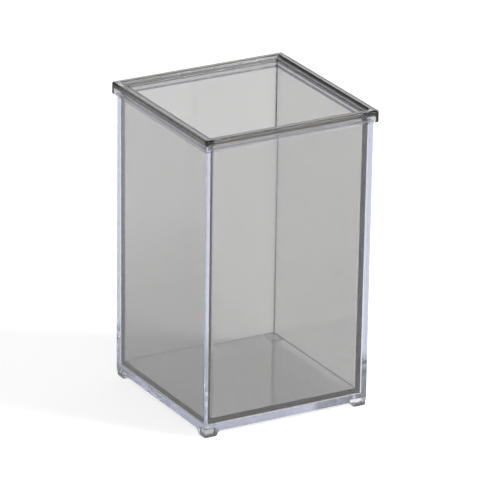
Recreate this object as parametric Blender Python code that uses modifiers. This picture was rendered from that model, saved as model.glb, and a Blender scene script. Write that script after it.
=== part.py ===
"""Square see-through pen holder.

Two injection mouldings: a clear outer shell that stands on four low feet, and a smoke-grey liner
that drops into it, stands on its floor and covers its lip with a channel-shaped rim.
Each moulding is one section carried round a square, from the middle of its floor, over its rim
and back to the middle of its base. Lengths are in metres, and Z points up from the table.
"""
import math

import bmesh
import bpy
from mathutils import Vector

# Overall sizes
HOLDER_HEIGHT = 0.1202
SHELL_WIDTH = 0.0710

# Clear shell: walls, floor and how far each wall leans in towards the base
SHELL_WALL = 0.0020
SHELL_FLOOR = 0.0026
SHELL_DRAFT = 0.00025
SHELL_CORNER_RADIUS = 0.0003
SHELL_INNER_CORNER_RADIUS = 0.0004
SHELL_LIP_RADIUS = 0.0004
SHELL_BASE_RADIUS = 0.0002
SHELL_INNER_BASE_RADIUS = 0.0003

# Feet, moulded in one with the shell under its corners; each is wider at its root than at its sole
FOOT_HEIGHT = 0.0021
FOOT_WIDTH = 0.0066
SOLE_WIDTH = 0.0045
FOOT_INSET = 0.0002
FOOT_CORNER_RADIUS = 0.0015
FOOT_EDGE_RADIUS = 0.0004

# Smoke liner: the cup that holds the pens
LINER_WALL = 0.0016
LINER_FLOOR = 0.0012
LINER_DRAFT = 0.0005
LINER_CORNER_RADIUS = 0.0003
LINER_INNER_CORNER_RADIUS = 0.0006
LINER_BASE_RADIUS = 0.0002
LINER_INNER_BASE_RADIUS = 0.0003

# Rim of the liner: a flat top over the shell's wall, a skirt outside it and a sunk ledge inside
RIM_HEIGHT = 0.0046
RIM_THICKNESS = 0.0025
RIM_TOP_WIDTH = 0.0031
RIM_LEDGE_DEPTH = 0.0012
RIM_CORNER_RADIUS = 0.0005
RIM_INNER_CORNER_RADIUS = 0.0006
RIM_EDGE_RADIUS = 0.0013
RIM_INNER_EDGE_RADIUS = 0.0004
RIM_LEDGE_RADIUS = 0.0004
RIM_FILLET_RADIUS = 0.0003
SKIRT_WALL = 0.0010
SKIRT_EDGE_RADIUS = 0.00015

# Clearances between the two mouldings, and how far the skirt reaches down past the shell's lip
SEAT_CLEARANCE = 0.0003
WALL_CLEARANCE = 0.0003
SKIRT_CLEARANCE = 0.0006
LIP_OVERLAP = 0.0003

# How finely the rounded edges are cut into flats
CORNER_STEPS = 6
FILLET_STEPS = 5

# Colours in linear light; both mouldings are polished all over
SHELL_COLOUR = (0.90, 0.92, 0.96)
LINER_COLOUR = (0.36, 0.36, 0.35)
POLISHED_ROUGHNESS = 0.03

# Heights that follow from the sizes above
SHELL_TOP = HOLDER_HEIGHT - RIM_HEIGHT + LIP_OVERLAP
SHELL_FLOOR_TOP = FOOT_HEIGHT + SHELL_FLOOR
SEAT_HEIGHT = SHELL_FLOOR_TOP + SEAT_CLEARANCE


def half_at(height, half_top, draft):
    """Half width of the shell's wall at a height, where the wall leans in towards the base."""
    lean = (SHELL_TOP - height) / (SHELL_TOP - FOOT_HEIGHT)
    return half_top - draft * lean


def fillet_arc(before, corner, after, radius):
    """Points of the round edge that replaces a section's corner, tangent to both its sides."""
    to_before = (before - corner).normalized()
    to_after = (after - corner).normalized()
    half_angle = to_before.angle(to_after) / 2
    reach = radius / math.tan(half_angle)
    middle = (to_before + to_after).normalized()
    centre = corner + middle * (radius / math.sin(half_angle))
    start = corner + to_before * reach - centre
    sweep = start.angle_signed(corner + to_after * reach - centre)
    points = []
    for step in range(FILLET_STEPS + 1):
        turn = -sweep * step / FILLET_STEPS
        cosine, sine = math.cos(turn), math.sin(turn)
        points.append(centre + Vector((start.x * cosine - start.y * sine,
                                       start.x * sine + start.y * cosine)))
    return points


def round_section(corners):
    """Stations of a section as (half width, height, plan radius), with every corner rounded.

    Each corner is (half width, height, edge radius, plan radius). The section starts and ends on
    the middle axis, at the heights of its first and last corners.
    """
    points = [Vector((half, height)) for half, height, edge, plan in corners]
    points = [Vector((0, points[0].y))] + points + [Vector((0, points[-1].y))]
    stations = []
    for index, (half, height, edge, plan) in enumerate(corners, start=1):
        arc = fillet_arc(points[index - 1], points[index], points[index + 1], edge)
        stations += [(point.x, point.y, plan) for point in arc]
    return stations


def square_ring(mesh, half, height, radius):
    """A level square outline with rounded corners, as new vertices of the mesh."""
    ring = []
    for quarter in range(4):
        for step in range(CORNER_STEPS + 1):
            angle = math.pi / 2 * (quarter + step / CORNER_STEPS)
            middle = math.pi / 2 * (quarter + 1 / 2)
            across = math.copysign(half - radius, math.cos(middle))
            along = math.copysign(half - radius, math.sin(middle))
            ring.append(mesh.verts.new((across + radius * math.cos(angle),
                                        along + radius * math.sin(angle), height)))
    return ring


def moulding(name, corners, colour, collection):
    """A hollow square moulding: its section is lofted round the square and closed at both ends."""
    mesh = bmesh.new()
    rings = [square_ring(mesh, half, height, plan) for half, height, plan in round_section(corners)]
    for lower, upper in zip(rings, rings[1:]):
        for index, vertex in enumerate(lower):
            following = (index + 1) % len(lower)
            mesh.faces.new((vertex, lower[following], upper[following], upper[index]))
    mesh.faces.new(rings[0])
    mesh.faces.new(rings[-1])
    bmesh.ops.recalc_face_normals(mesh, faces=mesh.faces)
    return finish_object(name, mesh, plastic(name, colour), collection)


def finish_object(name, mesh, material, collection):
    """Turn a bmesh into a smooth-shaded object in a collection."""
    data = bpy.data.meshes.new(name)
    mesh.to_mesh(data)
    mesh.free()
    data.shade_smooth()
    data.set_sharp_from_angle(angle=math.radians(25))
    data.materials.append(material)
    made = bpy.data.objects.new(name, data)
    collection.objects.link(made)
    return made


def plastic(name, colour):
    """Polished see-through plastic in a colour."""
    material = bpy.data.materials.new(name)
    material.use_nodes = True
    shader = material.node_tree.nodes["Principled BSDF"]
    shader.inputs["Base Color"].default_value = (*colour, 1)
    shader.inputs["Metallic"].default_value = 0
    shader.inputs["Roughness"].default_value = POLISHED_ROUGHNESS
    shader.inputs["Transmission Weight"].default_value = 1
    material.diffuse_color = (*colour, 1)
    return material


def new_collection(name):
    """A collection of its own in the scene."""
    collection = bpy.data.collections.new(name)
    bpy.context.scene.collection.children.link(collection)
    return collection


def feet(collection):
    """The four feet as one joining shape: a tapered block, rounded and mirrored to every corner."""
    mesh = bmesh.new()
    bmesh.ops.create_cube(mesh, size=1)
    outer = half_at(FOOT_HEIGHT, SHELL_WIDTH / 2, SHELL_DRAFT) - FOOT_INSET
    top = FOOT_HEIGHT + SHELL_FLOOR / 2
    bmesh.ops.scale(mesh, vec=(FOOT_WIDTH, FOOT_WIDTH, top), verts=mesh.verts)
    middle = outer - FOOT_WIDTH / 2
    bmesh.ops.translate(mesh, vec=(middle, middle, top / 2), verts=mesh.verts)
    for vertex in mesh.verts:
        if vertex.co.z < top / 2:
            vertex.co.x = max(vertex.co.x, outer - SOLE_WIDTH)
            vertex.co.y = max(vertex.co.y, outer - SOLE_WIDTH)
    upright = [edge for edge in mesh.edges if abs(edge.verts[0].co.z - edge.verts[1].co.z) > top / 2]
    outermost = max(upright, key=lambda edge: edge.verts[0].co.x + edge.verts[0].co.y)
    others = [edge for edge in upright if edge is not outermost]
    bevel(mesh, [outermost], SHELL_CORNER_RADIUS)
    bevel(mesh, others, FOOT_CORNER_RADIUS)
    sole = [edge for edge in mesh.edges if max(vertex.co.z for vertex in edge.verts) < top / 2]
    bevel(mesh, sole, FOOT_EDGE_RADIUS)
    made = finish_object("feet_join", mesh, plastic("feet_join", SHELL_COLOUR), collection)
    mirror = made.modifiers.new("four corners", "MIRROR")
    mirror.use_axis = (True, True, False)
    mirror.use_mirror_merge = False
    made.hide_render = True
    made.display_type = "WIRE"
    return made


def bevel(mesh, edges, radius):
    """Round some edges of a block."""
    bmesh.ops.bevel(mesh, geom=edges, offset=radius, segments=FILLET_STEPS, profile=0.5,
                    affect="EDGES", clamp_overlap=True)


def clear_shell(collection, joins):
    """The outer moulding: a square tube with a floor, and a foot under each corner."""
    half = SHELL_WIDTH / 2
    outer_base = half_at(FOOT_HEIGHT, half, SHELL_DRAFT)
    inner_base = half_at(SHELL_FLOOR_TOP, half - SHELL_WALL, SHELL_DRAFT)
    corners = [
        (inner_base, SHELL_FLOOR_TOP, SHELL_INNER_BASE_RADIUS, SHELL_INNER_CORNER_RADIUS),
        (half - SHELL_WALL, SHELL_TOP, SHELL_LIP_RADIUS, SHELL_INNER_CORNER_RADIUS),
        (half, SHELL_TOP, SHELL_LIP_RADIUS, SHELL_CORNER_RADIUS),
        (outer_base, FOOT_HEIGHT, SHELL_BASE_RADIUS, SHELL_CORNER_RADIUS),
    ]
    shell = moulding("clear_shell", corners, SHELL_COLOUR, collection)
    union = shell.modifiers.new("feet", "BOOLEAN")
    union.operation = "UNION"
    union.solver = "EXACT"
    union.object = feet(joins)
    return shell


def smoke_liner(collection):
    """The inner moulding: a square cup whose rim reaches over the shell's lip.

    Its own zero height is its seat, the underside of its floor, and the object is placed there, on
    the upright axis along which it lifts out.
    """
    shell_half = SHELL_WIDTH / 2
    outer = shell_half - SHELL_WALL - WALL_CLEARANCE
    inner = outer - LINER_WALL
    top = HOLDER_HEIGHT - SEAT_HEIGHT
    skirt_inner = shell_half + SKIRT_CLEARANCE
    skirt_inner_radius = SHELL_CORNER_RADIUS + SKIRT_CLEARANCE
    rim_outer = skirt_inner + SKIRT_WALL
    rim_inner = rim_outer - RIM_TOP_WIDTH
    ledge = top - RIM_LEDGE_DEPTH
    channel = top - RIM_THICKNESS
    skirt_base = top - RIM_HEIGHT
    corners = [
        (inner - LINER_DRAFT, LINER_FLOOR, LINER_INNER_BASE_RADIUS, LINER_INNER_CORNER_RADIUS),
        (inner, ledge, RIM_LEDGE_RADIUS, LINER_INNER_CORNER_RADIUS),
        (rim_inner, ledge, RIM_INNER_EDGE_RADIUS, RIM_INNER_CORNER_RADIUS),
        (rim_inner, top, RIM_INNER_EDGE_RADIUS, RIM_INNER_CORNER_RADIUS),
        (rim_outer, top, RIM_EDGE_RADIUS, RIM_CORNER_RADIUS),
        (rim_outer, skirt_base, SKIRT_EDGE_RADIUS, RIM_CORNER_RADIUS),
        (skirt_inner, skirt_base, SKIRT_EDGE_RADIUS, skirt_inner_radius),
        (skirt_inner, channel, RIM_FILLET_RADIUS, skirt_inner_radius),
        (outer, channel, RIM_FILLET_RADIUS, LINER_CORNER_RADIUS),
        (outer - LINER_DRAFT, 0, LINER_BASE_RADIUS, LINER_CORNER_RADIUS),
    ]
    liner = moulding("smoke_liner", corners, LINER_COLOUR, collection)
    liner.location.z = SEAT_HEIGHT
    return liner


def main():
    """Clear the scene and build both mouldings."""
    for item in list(bpy.data.objects):
        bpy.data.objects.remove(item)
    holder = new_collection("pen_holder")
    joins = new_collection("joining_shapes")
    clear_shell(holder, joins)
    smoke_liner(holder)


main()
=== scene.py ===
"""Looks of a square see-through pen holder, made of a clear shell and a smoke-grey liner.

The file is laid out as an add-on and run as a script: the properties hold the sizes, colours and
finish that a user would change, each moulding has an operator of its own, and so has the studio.
Lengths are in metres, Z points up, and the holder stands on zero height.
"""
import math

import bpy
import numpy as np
from bpy.props import FloatProperty, FloatVectorProperty, IntProperty, PointerProperty
from mathutils import Matrix, Vector


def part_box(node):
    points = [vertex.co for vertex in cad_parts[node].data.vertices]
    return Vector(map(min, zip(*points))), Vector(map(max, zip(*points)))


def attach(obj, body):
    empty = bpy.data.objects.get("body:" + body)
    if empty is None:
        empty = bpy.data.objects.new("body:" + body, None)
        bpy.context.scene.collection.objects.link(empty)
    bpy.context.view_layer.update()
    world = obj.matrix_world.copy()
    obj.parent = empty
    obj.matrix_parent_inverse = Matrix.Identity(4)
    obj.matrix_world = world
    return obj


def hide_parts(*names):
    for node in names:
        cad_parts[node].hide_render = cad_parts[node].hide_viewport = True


bl_info = {
    "name": "Square Pen Holder",
    "version": (1, 0, 0),
    "blender": (4, 5, 0),
    "location": "3D View > Sidebar > Pen Holder",
    "description": "Builds a clear, double-walled pen holder and the studio that it stands in",
    "category": "Add Mesh",
}

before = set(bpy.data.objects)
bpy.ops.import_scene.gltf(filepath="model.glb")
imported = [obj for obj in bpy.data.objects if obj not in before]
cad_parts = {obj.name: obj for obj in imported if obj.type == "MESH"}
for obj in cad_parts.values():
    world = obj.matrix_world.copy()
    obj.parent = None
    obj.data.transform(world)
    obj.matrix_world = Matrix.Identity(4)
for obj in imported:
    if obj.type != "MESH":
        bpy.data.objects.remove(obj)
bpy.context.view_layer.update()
SHELL_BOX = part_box("clear_shell")
LINER_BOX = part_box("smoke_liner")

# The camera that took the photo, found from the straight edges of the shell and the rim.
# Its angles are in degrees, and its lens and film in millimetres.
CAMERA_PLACE = (-0.938395, -1.654702, 0.807712)
CAMERA_AZIMUTH, CAMERA_ELEVATION, CAMERA_ROLL = -119.644, 21.517, 0.840
CAMERA_LENS = 386.726
CAMERA_FILM = 36
CAMERA_REACH = 100

# Where lines of points cross the underside, as shares of its half width, besides the close ones
# on the slopes of the feet
UNDERSIDE_LINE_SHARES = (0, 0.5, 0.97)

POLYSTYRENE_IOR = 1.59
# The melt flowed up the walls, so its waves are longer along the height than across it
FLOW_STRETCH_SHARE = 0.3
FLOW_DETAIL = 1.0
SCUFF_DETAIL = 3.0

# Cosine of the angle from the window's direction at which its light has faded out
WINDOW_FADE_COSINE = -0.2
FLOOR_REACH = 4.0
# The floor lies a hair below the soles, so that the two never meet
FLOOR_GAP = 0.00005
# Light is bent and mirrored by many faces on its way through the clear walls
LIGHT_BOUNCES = 128


def linear(code):
    """Linear colour of an sRGB hex code such as #808080, by the sRGB curve."""
    shares = np.array([int(code[at:at + 2], 16) for at in (1, 3, 5)]) / 255
    return tuple(np.where(shares <= 0.04045, shares / 12.92, ((shares + 0.055) / 1.055) ** 2.4))


def length(label, description, default):
    """A size property in metres."""
    return FloatProperty(name=label, description=description, default=default, min=0, unit="LENGTH",
                         subtype="DISTANCE", precision=5)


def colour(label, description, code):
    """A colour property in linear light, from an sRGB hex code."""
    return FloatVectorProperty(name=label, description=description, default=linear(code), size=3,
                               min=0, max=1, subtype="COLOR")


def share(label, description, default):
    """A property from 0 to 1."""
    return FloatProperty(name=label, description=description, default=default, min=0, max=1,
                         subtype="FACTOR")


def number(label, description, default):
    """A plain number property that can't go below zero."""
    return FloatProperty(name=label, description=description, default=default, min=0)


def angle(label, description, degrees):
    """An angle property, given here in degrees."""
    return FloatProperty(name=label, description=description, default=math.radians(degrees),
                         unit="ROTATION", subtype="ANGLE")


class HolderSizes(bpy.types.PropertyGroup):
    """Sizes of the two mouldings."""

    height: length("Height", "Height of the whole holder, to the top of its rim", LINER_BOX[1].z)
    shell_width: length("Shell width", "Outer width of the shell at its top", 2 * SHELL_BOX[1].x)
    shell_top: length("Shell top", "Height of the shell's lip", SHELL_BOX[1].z)
    shell_wall: length("Shell wall", "Thickness of the shell's walls", 0.0018)
    shell_floor: length("Shell floor", "Thickness of the shell's floor", 0.0026)
    shell_draft: length("Shell draft", "How far each wall of the shell leans in at its foot", 0.00025)
    shell_corner: length("Shell corner", "Plan radius of the shell's outer corners", 0.0001)
    shell_inner_corner: length("Shell inner corner", "Plan radius inside the shell", 0.0001)
    shell_lip: length("Shell lip", "Radius of the edges of the shell's lip", 0.0001)
    shell_base: length("Shell base", "Radius of the shell's bottom edge", 0.0002)
    shell_inner_base: length("Shell inner base", "Radius where the shell's wall meets its floor", 0.0003)
    foot_height: length("Foot height", "How far the feet lift the shell", 0.0021)
    foot_width: length("Foot width", "Width of each foot, measured from the shell's corner", 0.0066)
    foot_inset: length("Foot inset", "How far the feet stand in from the shell's walls", 0.0002)
    foot_edge: length("Foot edge", "Radius of the outer edges of the soles", 0.0002)
    foot_slope: length("Foot slope", "How far the inner sides of the feet reach out", 0.0016)
    liner_wall: length("Liner wall", "Thickness of the liner's walls", 0.0015)
    liner_base: length("Liner base", "Height of the liner's underside", LINER_BOX[0].z)
    liner_floor: length("Liner floor", "Thickness of the liner's floor", 0.0018)
    liner_draft: length("Liner draft", "How far each wall of the liner leans in at its base", 0.0005)
    liner_corner: length("Liner corner", "Plan radius of the liner's outer corners", 0.0001)
    liner_inner_corner: length("Liner inner corner", "Plan radius inside the liner", 0.0010)
    liner_base_edge: length("Liner base edge", "Radius of the liner's bottom edge", 0.0002)
    liner_inner_base: length("Liner inner base", "Radius where its wall meets its floor", 0.0003)
    wall_clearance: length("Wall clearance", "Gap between the walls of liner and shell", 0.00003)
    rim_width: length("Rim width", "Outer width of the rim", 2 * LINER_BOX[1].x)
    rim_height: length("Rim height", "Height of the rim, from its skirt's edge to its top", 0.0046)
    rim_thickness: length("Rim thickness", "Thickness of the rim's flat top", 0.0019)
    rim_top: length("Rim top", "Width of the rim's flat top", 0.0031)
    rim_ledge: length("Rim ledge", "How far the inner ledge lies below the rim's top", 0.0012)
    rim_corner: length("Rim corner", "Plan radius of the rim's outer corners", 0.0008)
    rim_inner_corner: length("Rim inner corner", "Plan radius of the rim's inner corners", 0.0006)
    rim_edge: length("Rim edge", "Radius of the rim's outer top edge", 0.0007)
    rim_inner_edge: length("Rim inner edge", "Radius at the top and foot of the rim's inner step", 0.0008)
    rim_ledge_edge: length("Ledge edge", "Radius of the ledge's edge", 0.0004)
    rim_fillet: length("Rim fillet", "Radius inside the rim's channel", 0.0008)
    skirt_wall: length("Skirt wall", "Thickness of the rim's skirt", 0.0010)
    skirt_edge: length("Skirt edge", "Radius of the skirt's lower edges", 0.00003)
    edge_steps: IntProperty(name="Edge steps", description="Flats across a rounded edge",
                            default=10, min=2)
    corner_steps: IntProperty(name="Corner steps", description="Flats round a corner in plan",
                              default=14, min=2)


class HolderLooks(bpy.types.PropertyGroup):
    """Colours and finish of the two plastics."""

    shell_tint: colour("Shell tint", "Colour that the clear plastic takes on over a long way", "#d7dbec")
    shell_density: number("Shell density", "Absorption of the clear plastic", 18)
    liner_tint: colour("Liner tint", "Colour of the smoke plastic", "#918e8a")
    liner_density: number("Liner density", "Absorption of the smoke plastic", 315)
    flow_width: length("Flow width", "Width of the waves that the flow left in the plastic", 0.012)
    flow_height: length("Flow height", "Height of those waves", 0.000005)
    scuff_width: length("Scuff width", "Width of a patch of fine scuffs", 0.0009)
    foot_scuffs: share("Foot scuffs", "Roughness of the soles, gone at the top of the shell's floor", 0.5)
    rim_haze: share("Rim haze", "Roughness where hands take hold of the rim", 0.01)


class HolderStudio(bpy.types.PropertyGroup):
    """The studio's floor, room and lamps."""

    floor: colour("Floor", "Colour of the studio's floor", "#e7e7e7")
    floor_lift: number("Floor lift", "Light added to the floor where a ray looks straight at it", 0.75)
    lift_share: share("Lift share", "Share of that light that shows in and through the plastic", 0.30)
    room_light: number("Room light", "Radiance of the room on its darker side", 0.25)
    window_light: number("Window light", "Radiance added on the room's lighter side", 0.05)
    window_azimuth: angle("Window azimuth", "Direction of the room's lighter side", -45)
    window_elevation: angle("Window elevation", "Height of the room's lighter side", 35)
    key_azimuth: angle("Key azimuth", "Direction of the key lamp", -43)
    key_elevation: angle("Key elevation", "Height of the key lamp", 31.5)
    key_distance: length("Key distance", "Distance of the key lamp", 1.6)
    key_width: length("Key width", "Width of the key lamp", 0.6)
    key_height: length("Key height", "Height of the key lamp's face", 0.6)
    key_radiance: number("Key radiance", "Radiance of the key lamp's face", 18)
    back_azimuth: angle("Back azimuth", "Direction of the back lamp", 60)
    back_elevation: angle("Back elevation", "Height of the back lamp", 21.5)
    back_distance: length("Back distance", "Distance of the back lamp", 1.5)
    back_width: length("Back width", "Width of the back lamp", 0.5)
    back_height: length("Back height", "Height of the back lamp's face", 0.35)
    back_radiance: number("Back radiance", "Radiance of the back lamp's face", 1.0)


def unit(vectors):
    """The vectors of an array at a length of one."""
    return vectors / np.linalg.norm(vectors, axis=-1, keepdims=True)


def rounded(corners, steps):
    """A section with every corner replaced by an arc that is tangent to both its sides.

    Each corner is half width, height, edge radius and plan radius. The section starts and ends on
    the middle axis. An arc's centre lies on the corner's bisector at radius / sin(half angle), and
    its points turn evenly from one tangent point to the other:
    centre + (start * sin((1 - t) * sweep) + finish * sin(t * sweep)) / sin(sweep).
    Returns the rows half width, height and plan radius.
    """
    corners = np.array(corners)
    points = corners[:, :2]
    ends = points[[0, -1]] * (0, 1)
    line = np.vstack((ends[:1], points, ends[1:]))
    to_before = unit(line[:-2] - points)
    to_after = unit(line[2:] - points)
    half_angle = np.arccos(np.sum(to_before * to_after, axis=1)) / 2
    radius = corners[:, 2]
    reach = (radius / np.tan(half_angle))[:, None]
    centre = points + unit(to_before + to_after) * (radius / np.sin(half_angle))[:, None]
    start = (points + to_before * reach - centre)[:, None]
    finish = (points + to_after * reach - centre)[:, None]
    sweep = (math.pi - 2 * half_angle)[:, None, None]
    turn_share = np.linspace(0, 1, steps + 1)[None, :, None]
    arcs = start * np.sin((1 - turn_share) * sweep) + finish * np.sin(turn_share * sweep)
    arcs = centre[:, None] + arcs / np.sin(sweep)
    plan = np.repeat(corners[:, 3], steps + 1)
    return np.column_stack((arcs.reshape(-1, 2), plan))


def square_path(steps, between=()):
    """One turn round a square, anticlockwise from its corner at +X and +Y.

    Rows are a point on the unit square and the outward direction there, so that a ring is
    point * (half width - plan radius) + direction * plan radius. At a corner the point stays and
    the direction turns, and along a side the points given in between run from -1 to 1.
    """
    turning = np.linspace(0, math.pi / 2, steps + 1)
    arc = np.column_stack((np.ones((steps + 1, 2)), np.cos(turning), np.sin(turning)))
    between = np.asarray(between, dtype=float)
    side = np.column_stack((-between, np.ones_like(between), np.zeros_like(between),
                            np.ones_like(between)))
    quarter = np.vstack((arc, side))
    quarter_turn = np.array(((0, 1), (-1, 0)))
    spins = [np.linalg.matrix_power(quarter_turn, turn) for turn in range(4)]
    return np.vstack([np.column_stack((quarter[:, :2] @ spin, quarter[:, 2:] @ spin))
                      for spin in spins])


def rings(section, path):
    """The section carried round the square: an array of stations by path points by coordinates."""
    half, height, plan = (section[:, None, column, None] for column in range(3))
    flat = path[None, :, :2] * (half - plan) + path[None, :, 2:] * plan
    return np.concatenate((flat, np.broadcast_to(height, flat.shape[:2] + (1,))), axis=2)


def bands(stations, around):
    """Four-sided faces between neighbouring rings of points that are numbered ring by ring."""
    first = np.arange(stations - 1)[:, None] * around
    here = first + np.arange(around)
    beside = first + (np.arange(around) + 1) % around
    return np.stack((here, here + around, beside + around, beside), axis=-1).reshape(-1, 4)


def finished(name, points, faces, material, body, slot, node):
    """A closed, smooth-shaded piece that rides on a body and stands for a node of the part."""
    mesh = bpy.data.meshes.new(name)
    mesh.from_pydata(points.reshape(-1, 3), [], faces)
    mesh.validate()
    mesh.shade_smooth()
    mesh.materials.append(material)
    piece = bpy.data.objects.new(name, mesh)
    bpy.context.scene.collection.objects.link(piece)
    piece.modifiers.new("flats stay flat", "WEIGHTED_NORMAL")
    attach(piece, body)
    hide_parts(node)


def foot_drop(distance, sizes):
    """How much of a foot's depth is left at a distance from the shell's side, from 1 down to 0.

    It is 1 over the sole, then falls as a smooth step: 1 - t * t * (3 - 2 * t), with t from 0 at the
    sole's edge to 1 at the foot's full width.
    """
    sole = sizes.foot_width - sizes.foot_slope
    slope_share = np.clip((distance - sole) / sizes.foot_slope, 0, 1)
    return 1 - slope_share ** 2 * (3 - 2 * slope_share)


def underside(sizes):
    """The lines that cross the flat part of the shell's underside, and their grid of points.

    The lines run from -1 to 1, and lie close together on the slopes of the feet. The grid's height is
    the foot's height * (1 - drop(x) * drop(y)), so that it comes down to zero at the soles.
    """
    base_half = sizes.shell_width / 2 - sizes.shell_draft
    core = base_half - sizes.shell_base - sizes.shell_corner
    distance = sizes.foot_width - sizes.foot_slope * np.linspace(0, 1, sizes.edge_steps + 1)
    half_lines = np.concatenate(((base_half - distance) / core, UNDERSIDE_LINE_SHARES, (1,)))
    lines = np.unique(np.concatenate((-half_lines, half_lines)))
    across, deep = np.meshgrid(lines * core, lines * core, indexing="ij")
    fall = foot_drop(base_half - np.abs(across), sizes) * foot_drop(base_half - np.abs(deep), sizes)
    return lines, np.stack((across, deep, sizes.foot_height * (1 - fall)), axis=-1)


def shell_skin(sizes, lines):
    """Rings of the shell, from the edge of its floor over the lip to the bottom of the wall.

    The section is carried round a square. Along each side its bottom edge blends from a plain
    rounded edge to the longer edge of a foot: plain * (1 - drop) + foot * drop.
    """
    half = sizes.shell_width / 2
    floor_top = sizes.foot_height + sizes.shell_floor
    lean = sizes.shell_draft / (sizes.shell_top - sizes.foot_height)
    base_half = half - sizes.shell_draft
    inner_half = half - sizes.shell_wall
    inner_base = inner_half - lean * (sizes.shell_top - floor_top)
    steps = sizes.edge_steps
    corners = (
        (inner_base, floor_top, sizes.shell_inner_base, sizes.shell_inner_corner),
        (inner_half, sizes.shell_top, sizes.shell_lip, sizes.shell_inner_corner),
        (half, sizes.shell_top, sizes.shell_lip, sizes.shell_corner),
        (base_half, sizes.foot_height, sizes.shell_base, sizes.shell_corner),
    )
    section = rounded(corners, steps)
    upper, plain = section[:-steps - 1], section[-steps - 1:]
    sole_half = base_half - sizes.foot_inset
    foot = rounded(((sole_half, sizes.foot_height, sizes.foot_edge, sizes.shell_corner),
                    (sole_half, 0, sizes.foot_edge, sizes.shell_corner)), steps)[steps + 1:]
    # The foot's edge leaves the wall where the plain edge does, and steps in to the sole's side
    foot[0, :2] = plain[0, :2]
    foot[1, :2] = sole_half, plain[0, 1] - sizes.foot_inset

    path = square_path(sizes.corner_steps, lines[1:-1])
    plain_rings, foot_rings = rings(plain, path), rings(foot, path)
    from_middle = np.min(np.abs(plain_rings[-1, :, :2]), axis=1)
    drop = foot_drop(base_half - from_middle, sizes)[None, :, None]
    return np.vstack((rings(upper, path), plain_rings * (1 - drop) + foot_rings * drop))


def shell_mesh(sizes):
    """Points and faces of the shell: its skin, the grid of its underside, and the joint of the two.

    The last ring of the skin meets the grid's border. At each corner the ring's arc fans out from the
    border's corner, and along each side the ring's points pair off with the border's.
    """
    lines, under = underside(sizes)
    skin = shell_skin(sizes, lines)
    stations, around = skin.shape[:2]
    faces = bands(stations, around).tolist()
    faces.append(list(range(around)))
    count = len(lines)
    first = stations * around
    grid = first + np.arange(count * count).reshape(count, count)
    cells = np.stack((grid[:-1, :-1], grid[:-1, 1:], grid[1:, 1:], grid[1:, :-1]), axis=-1)
    faces += cells.reshape(-1, 4).tolist()
    ring = first - around + np.arange(around)
    border = (grid[::-1, -1], grid[0, ::-1], grid[:, 0], grid[-1, :])
    steps = sizes.corner_steps
    quarter = around // 4
    for turn, line in enumerate(border):
        start = turn * quarter
        arc = ring[start:start + steps + 1]
        fan = np.stack((arc[:-1], np.full(steps, line[0]), arc[1:]), axis=-1)
        side = np.take(ring, np.arange(start + steps, start + quarter + 1), mode="wrap")
        strip = np.stack((side[:-1], line[:-1], line[1:], side[1:]), axis=-1)
        faces += fan.tolist() + strip.tolist()
    return np.vstack((skin.reshape(-1, 3), under.reshape(-1, 3))), faces


def liner_mesh(sizes):
    """Points and faces of the liner: one section, carried round a square.

    The section runs from the middle of the cup's floor up the inside, over the ledge and the rim's
    top, down the skirt, up again in the channel and down the outside to the middle of the underside.

    The two arcs of the rim's inner step overlap while the radius is over half the step's height. The
    section then doubles back between them, which leaves a fine fin and a groove along the step. The
    real rim has neither.
    """
    top = sizes.height
    ledge = top - sizes.rim_ledge
    channel_top = top - sizes.rim_thickness
    skirt_base = top - sizes.rim_height
    rim_outer = sizes.rim_width / 2
    rim_inner = rim_outer - sizes.rim_top
    skirt_inner = rim_outer - sizes.skirt_wall
    skirt_corner = sizes.shell_corner + skirt_inner - sizes.shell_width / 2
    outer = sizes.shell_width / 2 - sizes.shell_wall - sizes.wall_clearance
    inner = outer - sizes.liner_wall
    floor = sizes.liner_base + sizes.liner_floor
    corners = (
        (inner - sizes.liner_draft, floor, sizes.liner_inner_base, sizes.liner_inner_corner),
        (inner, ledge, sizes.rim_ledge_edge, sizes.liner_inner_corner),
        (rim_inner, ledge, sizes.rim_inner_edge, sizes.rim_inner_corner),
        (rim_inner, top, sizes.rim_inner_edge, sizes.rim_inner_corner),
        (rim_outer, top, sizes.rim_edge, sizes.rim_corner),
        (rim_outer, skirt_base, sizes.skirt_edge, sizes.rim_corner),
        (skirt_inner, skirt_base, sizes.skirt_edge, skirt_corner),
        (skirt_inner, channel_top, sizes.rim_fillet, skirt_corner),
        (outer, channel_top, sizes.rim_fillet, sizes.liner_corner),
        (outer - sizes.liner_draft, sizes.liner_base, sizes.liner_base_edge, sizes.liner_corner),
    )
    skin = rings(rounded(corners, sizes.edge_steps), square_path(sizes.corner_steps))
    stations, around = skin.shape[:2]
    faces = bands(stations, around).tolist()
    last = (stations - 1) * around
    faces += [list(range(around)), list(range(last + around - 1, last - 1, -1))]
    return skin, faces


def add(tree, kind, settings=None, links=None):
    """A node of a kind, with the values of its inputs or properties and the outputs linked to it."""
    node = tree.nodes.new(kind)
    for name, value in (settings or {}).items():
        if isinstance(name, str) and hasattr(node, name):
            setattr(node, name, value)
        else:
            node.inputs[name].default_value = value
    for name, output in (links or {}).items():
        tree.links.new(output, node.inputs[name])
    return node


def new_material(name):
    """An empty node material and its tree."""
    material = bpy.data.materials.new(name)
    material.use_nodes = True
    material.node_tree.nodes.clear()
    return material, material.node_tree


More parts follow.
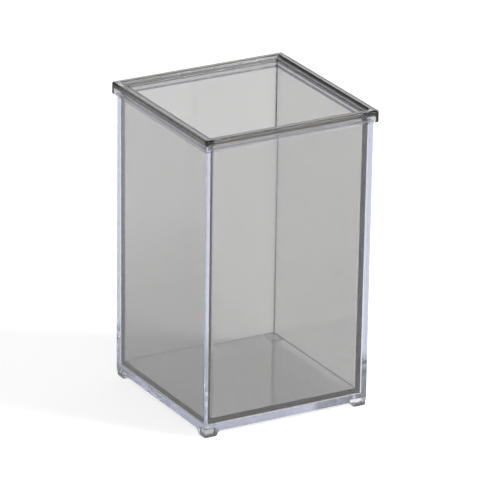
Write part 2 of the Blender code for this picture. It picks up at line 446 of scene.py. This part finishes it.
def polystyrene(name, tint, density, looks, worn_height, clear_height, wear):
    """Crystal polystyrene, injection moulded in a polished tool: clear as glass, tinted by its depth.

    The melt's flow leaves long, shallow waves along the walls, which make reflections and the edges
    seen through the plastic waver a little. Scuffs, too fine to show one by one, are drawn as patches
    that grow from none at the clear height to their full roughness at the worn height.
    """
    material, tree = new_material(name)
    place = add(tree, "ShaderNodeTexCoord").outputs["Object"]
    along = add(tree, "ShaderNodeMapping", {"Scale": (1, 1, FLOW_STRETCH_SHARE)}, {"Vector": place})
    flow = add(tree, "ShaderNodeTexNoise", {"Scale": 1 / looks.flow_width, "Detail": FLOW_DETAIL},
               {"Vector": along.outputs[0]})
    waves = add(tree, "ShaderNodeBump", {"Distance": looks.flow_height},
                {"Height": flow.outputs["Fac"]})
    patches = add(tree, "ShaderNodeTexNoise", {"Scale": 1 / looks.scuff_width, "Detail": SCUFF_DETAIL},
                  {"Vector": place})
    height = add(tree, "ShaderNodeSeparateXYZ", links={"Vector": place}).outputs["Z"]
    rubbed = add(tree, "ShaderNodeMapRange", {
        "From Min": clear_height, "From Max": worn_height, "To Max": wear}, {"Value": height})
    scuffs = add(tree, "ShaderNodeMath", {"operation": "MULTIPLY"},
                 {0: rubbed.outputs[0], 1: patches.outputs["Fac"]})
    shader = add(tree, "ShaderNodeBsdfPrincipled", {
        "Base Color": (1, 1, 1, 1), "IOR": POLYSTYRENE_IOR, "Transmission Weight": 1.0},
        {"Roughness": scuffs.outputs[0], "Normal": waves.outputs[0]})
    depth = add(tree, "ShaderNodeVolumeAbsorption", {"Color": (*tint, 1), "Density": density})
    add(tree, "ShaderNodeOutputMaterial",
        links={"Surface": shader.outputs[0], "Volume": depth.outputs[0]})
    return material


def clear_polystyrene(looks, sizes):
    """The shell's plastic, whose feet and underside are dulled by the desk and by handling."""
    return polystyrene("moulded_clear_polystyrene", looks.shell_tint, looks.shell_density, looks,
                       0, sizes.foot_height + sizes.shell_floor, looks.foot_scuffs)


def smoke_polystyrene(looks, sizes):
    """The liner's plastic, whose rim is a little dulled by hands."""
    return polystyrene("moulded_smoke_polystyrene", looks.liner_tint, looks.liner_density, looks,
                       sizes.height, sizes.height - sizes.rim_height, looks.rim_haze)


class PEN_HOLDER_OT_clear_shell(bpy.types.Operator):
    """Builds the clear shell with its four feet"""

    bl_idname = "pen_holder.clear_shell"
    bl_label = "Clear Shell"

    def execute(self, context):
        sizes = context.scene.holder_sizes
        material = clear_polystyrene(context.scene.holder_looks, sizes)
        finished("clear_shell_moulding", *shell_mesh(sizes), material,
                 "shell", "clear_plastic", "clear_shell")
        return {"FINISHED"}


class PEN_HOLDER_OT_smoke_liner(bpy.types.Operator):
    """Builds the smoke-grey liner, with the rim that covers the shell's lip"""

    bl_idname = "pen_holder.smoke_liner"
    bl_label = "Smoke Liner"

    def execute(self, context):
        sizes = context.scene.holder_sizes
        material = smoke_polystyrene(context.scene.holder_looks, sizes)
        finished("smoke_liner_moulding", *liner_mesh(sizes), material,
                 "liner", "smoke_plastic", "smoke_liner")
        return {"FINISHED"}


def seen_directly(tree, bounced_share):
    """Light Path's camera ray, with a share of the rays that left a shiny or a clear surface."""
    path = add(tree, "ShaderNodeLightPath")
    bounced = add(tree, "ShaderNodeMath", {"operation": "ADD"},
                  {0: path.outputs["Is Glossy Ray"], 1: path.outputs["Is Transmission Ray"]})
    return add(tree, "ShaderNodeMath",
               {"operation": "MULTIPLY_ADD", 1: bounced_share, "use_clamp": True},
               {0: bounced.outputs[0], 2: path.outputs["Is Camera Ray"]}).outputs[0]


def floor_material(studio):
    """Matt white paint on the studio's floor, lifted to white where a ray looks straight at it."""
    material, tree = new_material("matt_white_floor_paint")
    matt = add(tree, "ShaderNodeBsdfDiffuse", {"Color": (*studio.floor, 1)})
    lift = add(tree, "ShaderNodeMath", {"operation": "MULTIPLY", 1: studio.floor_lift},
               {0: seen_directly(tree, studio.lift_share)})
    glow = add(tree, "ShaderNodeEmission", links={"Strength": lift.outputs[0]})
    both = add(tree, "ShaderNodeAddShader", links={0: matt.outputs[0], 1: glow.outputs[0]})
    add(tree, "ShaderNodeOutputMaterial", links={"Surface": both.outputs[0]})
    return material


def floor_plane(studio):
    """The studio's floor: one square face, just below the soles."""
    edge = np.array((-FLOOR_REACH, FLOOR_REACH))
    across, along = np.meshgrid(edge, edge)
    points = np.column_stack((across.ravel(), along.ravel(), np.full(across.size, -FLOOR_GAP)))
    mesh = bpy.data.meshes.new("studio_floor")
    mesh.from_pydata(points, [], [(0, 1, 3, 2)])
    mesh.materials.append(floor_material(studio))
    floor = bpy.data.objects.new("studio_floor", mesh)
    bpy.context.scene.collection.objects.link(floor)


def direction(azimuth, elevation):
    """Unit vector at an azimuth, anticlockwise from +X, and an elevation."""
    return Vector((math.cos(elevation) * math.cos(azimuth), math.cos(elevation) * math.sin(azimuth),
                   math.sin(elevation)))


def room(studio):
    """The room round the holder: pale walls, lighter on the side of a wide window."""
    world = bpy.data.worlds.new("studio_room")
    world.use_nodes = True
    tree = world.node_tree
    tree.nodes.clear()
    towards = add(tree, "ShaderNodeTexCoord").outputs["Generated"]
    facing = add(tree, "ShaderNodeVectorMath", {
        "operation": "DOT_PRODUCT", 1: direction(studio.window_azimuth, studio.window_elevation)},
        {0: towards})
    level = add(tree, "ShaderNodeMapRange", {
        "interpolation_type": "SMOOTHSTEP", "From Min": WINDOW_FADE_COSINE,
        "To Min": studio.room_light, "To Max": studio.room_light + studio.window_light},
        {"Value": facing.outputs["Value"]})
    sky = add(tree, "ShaderNodeBackground", {"Color": (1, 1, 1, 1)}, {"Strength": level.outputs[0]})
    add(tree, "ShaderNodeOutputWorld", links={"Surface": sky.outputs[0]})
    return world


def softbox(name, azimuth, elevation, distance, width, height, radiance):
    """A flat soft lamp that faces the holder, with its light given as the radiance of its face."""
    data = bpy.data.lights.new(name, "AREA")
    data.shape = "RECTANGLE"
    data.size, data.size_y = width, height
    data.energy = radiance * math.pi * width * height
    lamp = bpy.data.objects.new(name, data)
    bpy.context.scene.collection.objects.link(lamp)
    away = direction(azimuth, elevation)
    lamp.location = Vector((0, 0, LINER_BOX[1].z / 2)) + away * distance
    lamp.rotation_euler = away.to_track_quat("Z", "Y").to_euler()


def photo_camera():
    """The camera at the photo's place, turned by its azimuth and elevation and then by its roll."""
    data = bpy.data.cameras.new("camera")
    data.lens = CAMERA_LENS
    data.sensor_width = CAMERA_FILM
    data.clip_end = CAMERA_REACH
    camera = bpy.data.objects.new("camera", data)
    bpy.context.scene.collection.objects.link(camera)
    azimuth, elevation, roll = np.radians((CAMERA_AZIMUTH, CAMERA_ELEVATION, CAMERA_ROLL))
    back = direction(azimuth, elevation)
    right = (-back).cross(Vector((0, 0, 1))).normalized()
    up = right.cross(-back)
    axis_x = right * math.cos(roll) + up * math.sin(roll)
    axis_y = up * math.cos(roll) - right * math.sin(roll)
    turn = Matrix((axis_x, axis_y, back)).transposed()
    camera.matrix_world = Matrix.LocRotScale(Vector(CAMERA_PLACE), turn, None)
    return camera


class PEN_HOLDER_OT_studio(bpy.types.Operator):
    """Builds the studio: a pale floor, the room, soft lamps and the camera"""

    bl_idname = "pen_holder.studio"
    bl_label = "Studio"

    def execute(self, context):
        scene = context.scene
        studio = scene.holder_studio
        floor_plane(studio)
        scene.world = room(studio)
        softbox("key_softbox", studio.key_azimuth, studio.key_elevation, studio.key_distance,
                studio.key_width, studio.key_height, studio.key_radiance)
        softbox("back_softbox", studio.back_azimuth, studio.back_elevation, studio.back_distance,
                studio.back_width, studio.back_height, studio.back_radiance)
        scene.camera = photo_camera()
        scene.view_settings.view_transform = "Standard"
        scene.cycles.max_bounces = LIGHT_BOUNCES
        scene.cycles.transmission_bounces = LIGHT_BOUNCES
        scene.cycles.glossy_bounces = LIGHT_BOUNCES
        return {"FINISHED"}


class PEN_HOLDER_PT_builder(bpy.types.Panel):
    """Lists the holder's pieces and its studio, with the values that shape them"""

    bl_idname = "PEN_HOLDER_PT_builder"
    bl_label = "Pen Holder"
    bl_space_type = "VIEW_3D"
    bl_region_type = "UI"
    bl_category = "Pen Holder"

    def draw(self, context):
        layout = self.layout
        for kind in OPERATORS:
            layout.operator(kind.bl_idname)
        scene = context.scene
        for group in (scene.holder_sizes, scene.holder_looks, scene.holder_studio):
            column = layout.column(align=True)
            for name in type(group).__annotations__:
                column.prop(group, name)


GROUPS = (HolderSizes, HolderLooks, HolderStudio)
OPERATORS = (PEN_HOLDER_OT_clear_shell, PEN_HOLDER_OT_smoke_liner, PEN_HOLDER_OT_studio)
CLASSES = GROUPS + OPERATORS + (PEN_HOLDER_PT_builder,)


def register():
    """Make the classes known and give the scene its properties."""
    for kind in CLASSES:
        bpy.utils.register_class(kind)
    bpy.types.Scene.holder_sizes = PointerProperty(type=HolderSizes)
    bpy.types.Scene.holder_looks = PointerProperty(type=HolderLooks)
    bpy.types.Scene.holder_studio = PointerProperty(type=HolderStudio)


def unregister():
    """Take the properties and the classes away again."""
    del bpy.types.Scene.holder_studio
    del bpy.types.Scene.holder_looks
    del bpy.types.Scene.holder_sizes
    for kind in reversed(CLASSES):
        bpy.utils.unregister_class(kind)


def main():
    """Build the holder and its studio."""
    register()
    bpy.ops.pen_holder.clear_shell()
    bpy.ops.pen_holder.smoke_liner()
    bpy.ops.pen_holder.studio()


if __name__ == "__main__":
    main()
